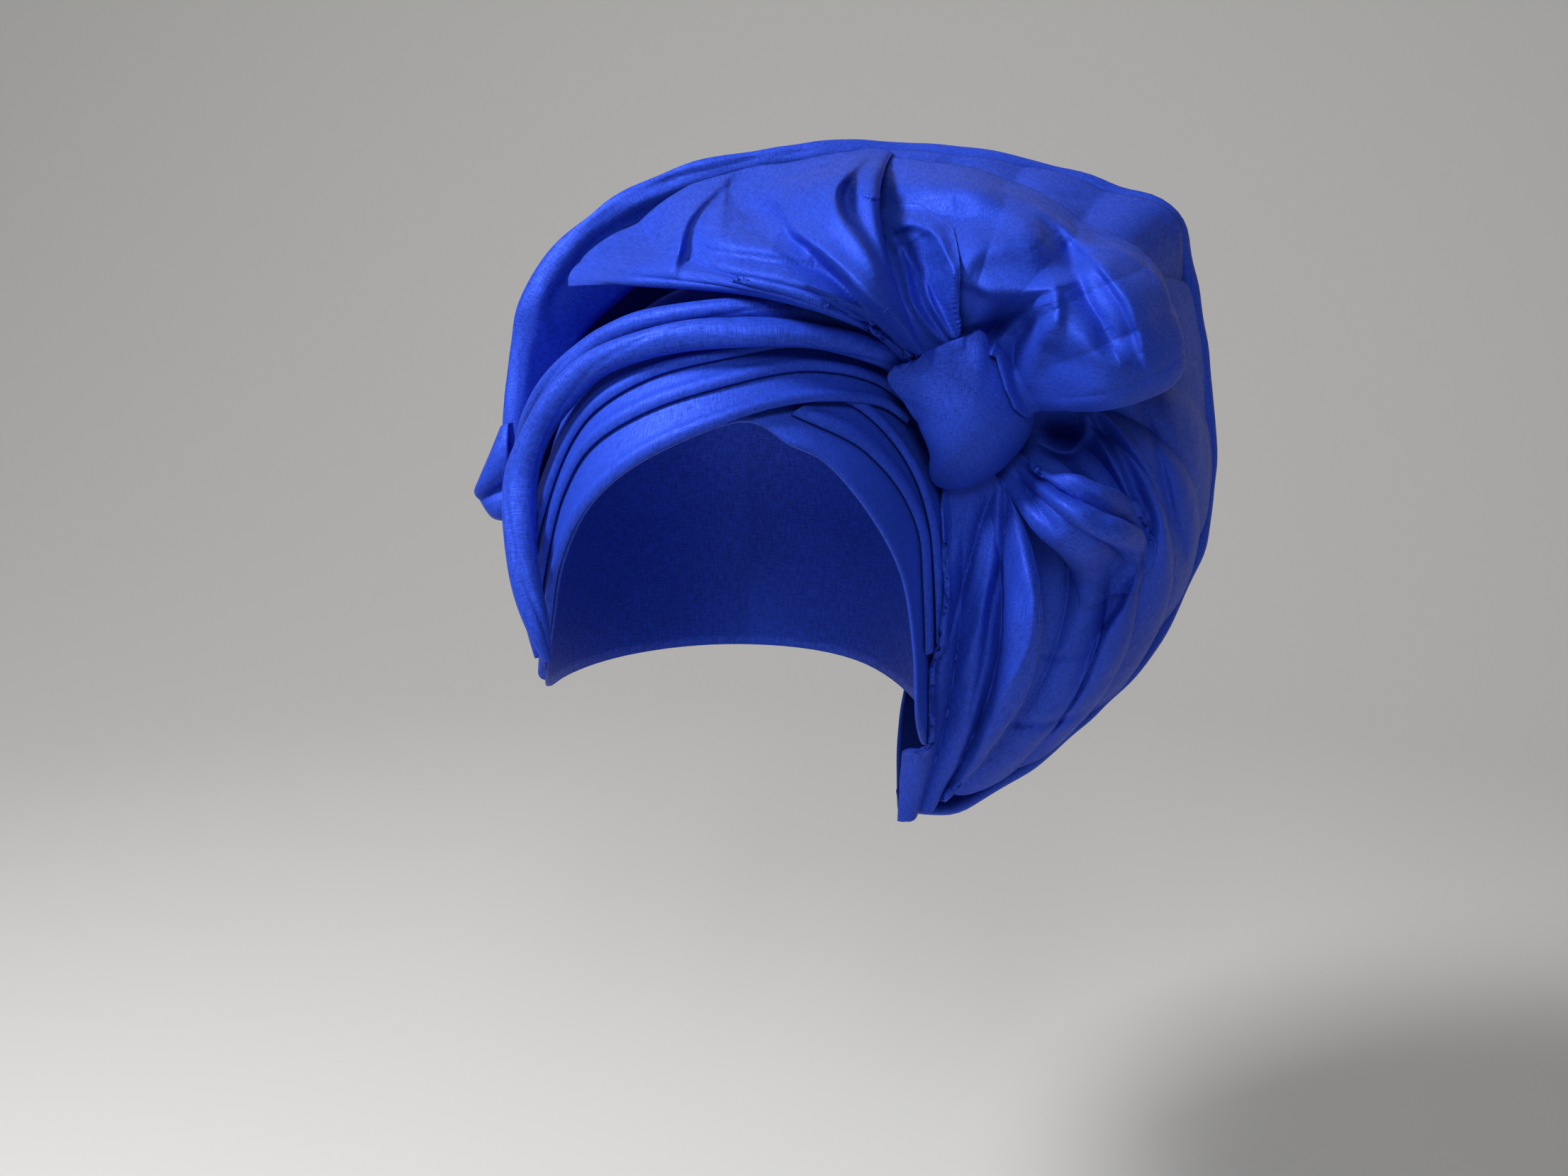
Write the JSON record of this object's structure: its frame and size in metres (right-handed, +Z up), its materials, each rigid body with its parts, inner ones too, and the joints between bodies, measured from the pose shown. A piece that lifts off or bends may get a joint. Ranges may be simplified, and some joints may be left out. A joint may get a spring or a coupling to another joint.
{
  "type": "tied gele head tie",
  "caption": "Tied gele head tie: stiff taffeta wound round the head in pleats and rolls, puffed above, gathered under a knot strap at the side with folds that fall beside the face.",
  "frame": {"origin": "middle of the head at the level of the hat band", "axes": "+Z up, -Y the way the face looks, +X to the viewer's right, where the knot is"},
  "size_m": [0.293, 0.2242, 0.2719],
  "materials": {
    "taffeta": "satin"
  },
  "bodies": {
    "root": {"under_wrap": "taffeta", "under_pleat_inner": "taffeta", "under_pleat_outer": "taffeta", "front_band_low": "taffeta", "front_band_mid": "taffeta", "front_band_high": "taffeta", "roll_low": "taffeta", "roll_high": "taffeta", "crown_back": "taffeta", "crown_swag": "taffeta", "pocket_pleats": "taffeta", "crown_top": "taffeta", "crown_puff": "taffeta", "side_fan": "taffeta", "side_loop": "taffeta", "side_drape": "taffeta", "knot_strap": "taffeta", "left_tail": "taffeta"}
  },
  "joints": []
}
